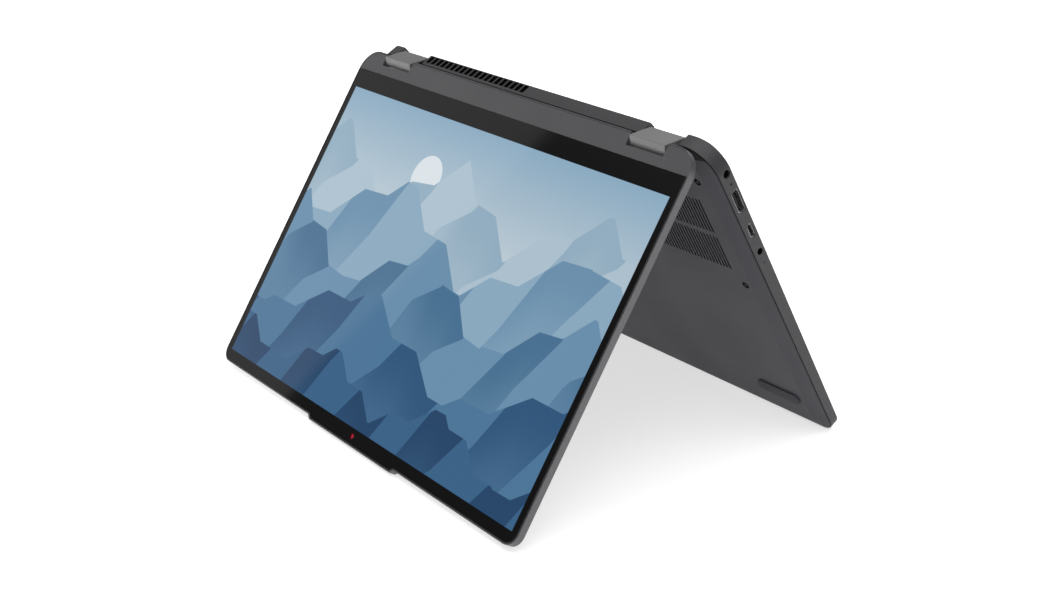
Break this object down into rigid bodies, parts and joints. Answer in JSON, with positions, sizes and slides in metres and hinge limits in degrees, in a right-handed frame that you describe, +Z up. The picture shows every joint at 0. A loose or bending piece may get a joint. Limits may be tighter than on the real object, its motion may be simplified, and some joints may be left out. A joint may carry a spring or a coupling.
{
  "type": "convertible laptop",
  "caption": "Thin dark grey convertible laptop standing as a tent, display half in front, keyboard half behind, joined by two geared double-axis hinges.",
  "frame": {"origin": "on the floor, in the middle of the bounding box of the standing tent", "axes": "+X along the hinges to the laptop's own left side, +Y from the display half to the keyboard half, +Z up"},
  "size_m": [0.313, 0.2458, 0.1943],
  "materials": {
    "shell": "bead-blasted, dark grey",
    "cover": "fine textured, dark grey",
    "hinge_cap": "satin light grey",
    "steel": "stamped steel",
    "rubber": "soft rubber",
    "keycap": "matt caps",
    "pad": "satin touch surface",
    "glass": "gloss black-bordered touch glass",
    "panel": "lit display",
    "board": "circuit board",
    "cells": "wrapped cells",
    "copper": "copper",
    "black": "moulded black",
    "lens": "clear light guide",
    "signal": "red shutter blade"
  },
  "bodies": {
    "base": {"top_case": "shell", "bottom_cover": "cover", "bottom_screws": "steel", "front_feet": "rubber", "rear_foot": "rubber", "keyboard_frame": "shell", "keyboard_plate": "steel", "touchpad_bracket": "steel", "battery": "cells", "motherboard": "board", "ssd_module": "board", "wifi_card": "board", "io_board": "board", "fan_housing": "black", "heat_sink_fins": "copper", "heat_pipe": "copper", "speaker_left": "black", "speaker_right": "black", "dc_jack": "black", "charge_light": "lens", "hdmi_socket": "steel", "usb_c_socket": "steel", "audio_jack": "black", "usb_a_sockets": "steel", "card_reader": "steel", "base_hinge_left": "steel", "base_hinge_right": "steel"},
    "hinge_arms": {"hinge_cover_left": "hinge_cap", "hinge_cover_right": "hinge_cap", "hinge_link_left": "steel", "hinge_link_right": "steel"},
    "lid": {"lid_back_cover": "shell", "hinge_strip": "cover", "screen_gasket": "rubber", "display_glass": "glass", "display_panel": "panel", "camera_board": "board", "lid_hinge_left": "steel", "lid_hinge_right": "steel"},
    "camera_shutter": {"camera_shutter": "signal"},
    "touchpad": {"touchpad": "pad"},
    "power_button": {"power_button": "shell"},
    "fan_rotor": {"fan_rotor": "black"},
    "keys_function_row": {"keys_function_row": "keycap"},
    "keys_number_row": {"keys_number_row": "keycap"},
    "keys_upper_row": {"keys_upper_row": "keycap"},
    "keys_home_row": {"keys_home_row": "keycap"},
    "keys_lower_row": {"keys_lower_row": "keycap"},
    "keys_bottom_row": {"keys_bottom_row": "keycap"},
    "space_bar": {"space_bar": "keycap"},
    "arrow_keys": {"arrow_keys": "keycap"}
  },
  "joints": [
    {"name": "base_hinge", "type": "hinge", "parent": "base", "child": "hinge_arms", "pos_m": [0, 0.00873, 0.18915], "axis": [1, 0, 0], "range_deg": [-148.7, 31.3]},
    {"name": "lid_hinge", "type": "hinge", "parent": "hinge_arms", "child": "lid", "pos_m": [0, -0.0007, 0.18805], "axis": [1, 0, 0], "range_deg": [-148.7, 31.3]},
    {"name": "shutter_slide", "type": "slide", "parent": "lid", "child": "camera_shutter", "axis": [1, 0, 0], "range_m": [0, 0.005]},
    {"name": "touchpad_click", "type": "hinge", "parent": "base", "child": "touchpad", "pos_m": [0, 0.08279, 0.0714], "axis": [1, 0, 0], "range_deg": [-0.4, 0], "stiffness_Nm_per_rad": 15, "springref_deg": 0.11},
    {"name": "power_press", "type": "slide", "parent": "base", "child": "power_button", "axis": [1, 0, 0], "range_m": [0, 0.0005], "stiffness_N_per_m": 1500, "springref_m": -0.0003},
    {"name": "fan_spin", "type": "hinge", "parent": "base", "child": "fan_rotor", "pos_m": [-0.062, 0.03169, 0.14929], "axis": [0, 0.8665, 0.4992], "continuous": true},
    {"name": "keys_function_row_press", "type": "slide", "parent": "base", "child": "keys_function_row", "axis": [0, 0.8665, 0.4992], "range_m": [-0.0012, 0], "stiffness_N_per_m": 300, "springref_m": 0.0006},
    {"name": "keys_number_row_press", "type": "slide", "parent": "base", "child": "keys_number_row", "axis": [0, 0.8665, 0.4992], "range_m": [-0.0012, 0], "stiffness_N_per_m": 300, "springref_m": 0.0006},
    {"name": "keys_upper_row_press", "type": "slide", "parent": "base", "child": "keys_upper_row", "axis": [0, 0.8665, 0.4992], "range_m": [-0.0012, 0], "stiffness_N_per_m": 300, "springref_m": 0.0006},
    {"name": "keys_home_row_press", "type": "slide", "parent": "base", "child": "keys_home_row", "axis": [0, 0.8665, 0.4992], "range_m": [-0.0012, 0], "stiffness_N_per_m": 300, "springref_m": 0.0006},
    {"name": "keys_lower_row_press", "type": "slide", "parent": "base", "child": "keys_lower_row", "axis": [0, 0.8665, 0.4992], "range_m": [-0.0012, 0], "stiffness_N_per_m": 300, "springref_m": 0.0006},
    {"name": "keys_bottom_row_press", "type": "slide", "parent": "base", "child": "keys_bottom_row", "axis": [0, 0.8665, 0.4992], "range_m": [-0.0012, 0], "stiffness_N_per_m": 300, "springref_m": 0.0006},
    {"name": "space_bar_press", "type": "slide", "parent": "base", "child": "space_bar", "axis": [0, 0.8665, 0.4992], "range_m": [-0.0012, 0], "stiffness_N_per_m": 300, "springref_m": 0.0006},
    {"name": "arrow_keys_press", "type": "slide", "parent": "base", "child": "arrow_keys", "axis": [0, 0.8665, 0.4992], "range_m": [-0.0012, 0], "stiffness_N_per_m": 300, "springref_m": 0.0006}
  ],
  "couplings": [
    {"joint": "lid_hinge", "follows": "base_hinge", "ratio": 1}
  ]
}
